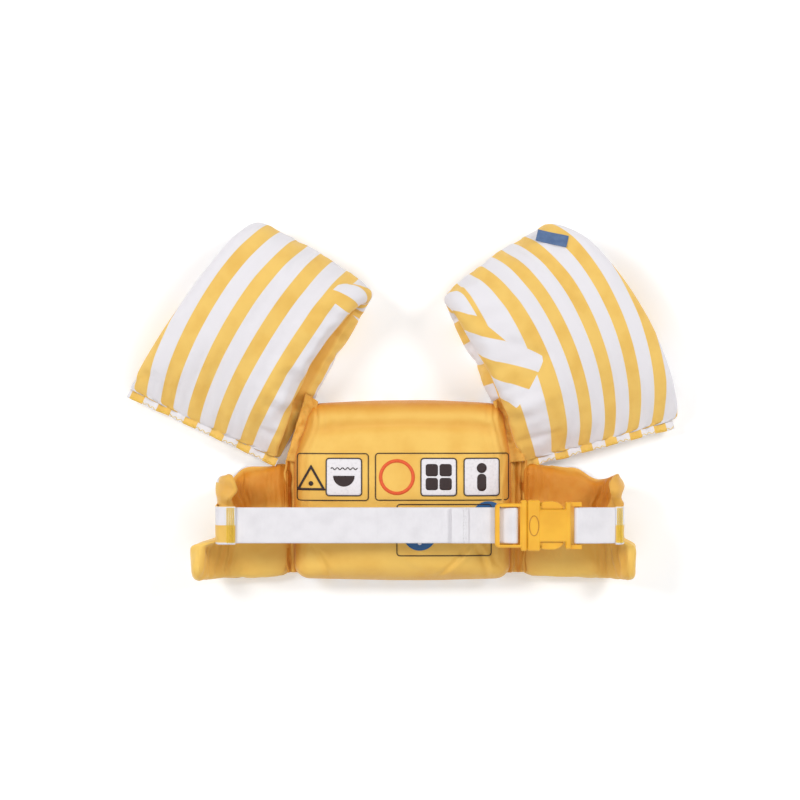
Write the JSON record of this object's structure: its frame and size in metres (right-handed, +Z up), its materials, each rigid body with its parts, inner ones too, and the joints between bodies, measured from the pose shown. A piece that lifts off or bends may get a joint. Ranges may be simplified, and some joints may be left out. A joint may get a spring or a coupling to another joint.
{
  "type": "foam swim vest with arm bands",
  "caption": "Child's foam swim vest: chest pad with folding side pads, arm bands, and an adjustable back strap closed by a side-release buckle.",
  "frame": {"origin": "middle of the footprint, on the surface the vest lies on, face down", "axes": "+X towards the wearer's buckle side, +Y from the waist to the neck, +Z up, out of the body side of the chest pad"},
  "size_m": [0.4628, 0.296, 0.0655],
  "materials": {
    "striped_cloth": "woven polyester, white with broad yellow stripes",
    "lining_cloth": "plain woven polyester, soft sheen",
    "foam": "closed-cell foam sheet",
    "webbing": "white woven polyester webbing",
    "buckle_plastic": "moulded acetal, satin",
    "thread": "polyester sewing thread",
    "label_cloth": "blank woven label"
  },
  "bodies": {
    "vest": {"chest_front_cover": "striped_cloth", "chest_back_cover": "lining_cloth", "chest_foam_front": "foam", "chest_foam_back": "foam", "side_channel_left": "striped_cloth", "side_channel_right": "striped_cloth", "strap_long": "webbing", "strap_short": "webbing", "buckle_socket": "buckle_plastic"},
    "side_left": {"side_cover_left": "striped_cloth", "side_foam_left": "foam", "side_lining_left": "lining_cloth", "side_tab_left": "striped_cloth", "tab_stitching_left": "thread"},
    "side_right": {"side_cover_right": "striped_cloth", "side_foam_right": "foam", "side_lining_right": "lining_cloth", "side_tab_right": "striped_cloth", "tab_stitching_right": "thread"},
    "arm_left": {"arm_cover_left": "striped_cloth", "arm_foam_left": "foam", "arm_lining_left": "striped_cloth", "arm_flat_seam_left": "striped_cloth", "arm_bridge_left": "lining_cloth"},
    "arm_right": {"arm_cover_right": "striped_cloth", "arm_foam_right": "foam", "arm_lining_right": "striped_cloth", "arm_flat_seam_right": "striped_cloth", "arm_bridge_right": "lining_cloth", "blank_label": "label_cloth"},
    "plug": {"buckle_plug": "buckle_plastic"},
    "prong_upper": {"buckle_prong_upper": "buckle_plastic"},
    "prong_lower": {"buckle_prong_lower": "buckle_plastic"}
  },
  "joints": [
    {"name": "side_left_fold", "type": "hinge", "parent": "vest", "child": "side_left", "pos_m": [-0.09103, -0.102, 0.009], "axis": [0, 1, 0], "range_deg": [0, 30], "deforming": ["side_channel_left"]},
    {"name": "side_right_fold", "type": "hinge", "parent": "vest", "child": "side_right", "pos_m": [0.09897, -0.102, 0.009], "axis": [0, -1, 0], "range_deg": [0, 12], "deforming": ["side_channel_right", "strap_short"]},
    {"name": "arm_left_fold", "type": "hinge", "parent": "vest", "child": "arm_left", "pos_m": [-0.10527, -0.05494, 0.04], "axis": [0.4709, 0.8822, 0], "range_deg": [0, 80], "deforming": ["arm_bridge_left"]},
    {"name": "arm_right_fold", "type": "hinge", "parent": "vest", "child": "arm_right", "pos_m": [0.11016, -0.05686, 0.04], "axis": [0.4325, -0.9016, 0], "range_deg": [0, 80], "deforming": ["arm_bridge_right"]},
    {"name": "buckle_release", "type": "slide", "parent": "vest", "child": "plug", "axis": [-1, 0, 0], "range_m": [0, 0.03], "deforming": ["strap_long", "buckle_prong_upper", "buckle_prong_lower"]},
    {"name": "prong_upper_press", "type": "hinge", "parent": "plug", "child": "prong_upper", "pos_m": [0.10397, -0.0871, 0.06], "axis": [0, 0, -1], "range_deg": [0, 7], "stiffness_Nm_per_rad": 1},
    {"name": "prong_lower_press", "type": "hinge", "parent": "plug", "child": "prong_lower", "pos_m": [0.10397, -0.1169, 0.06], "axis": [0, 0, 1], "range_deg": [0, 7], "stiffness_Nm_per_rad": 1}
  ]
}
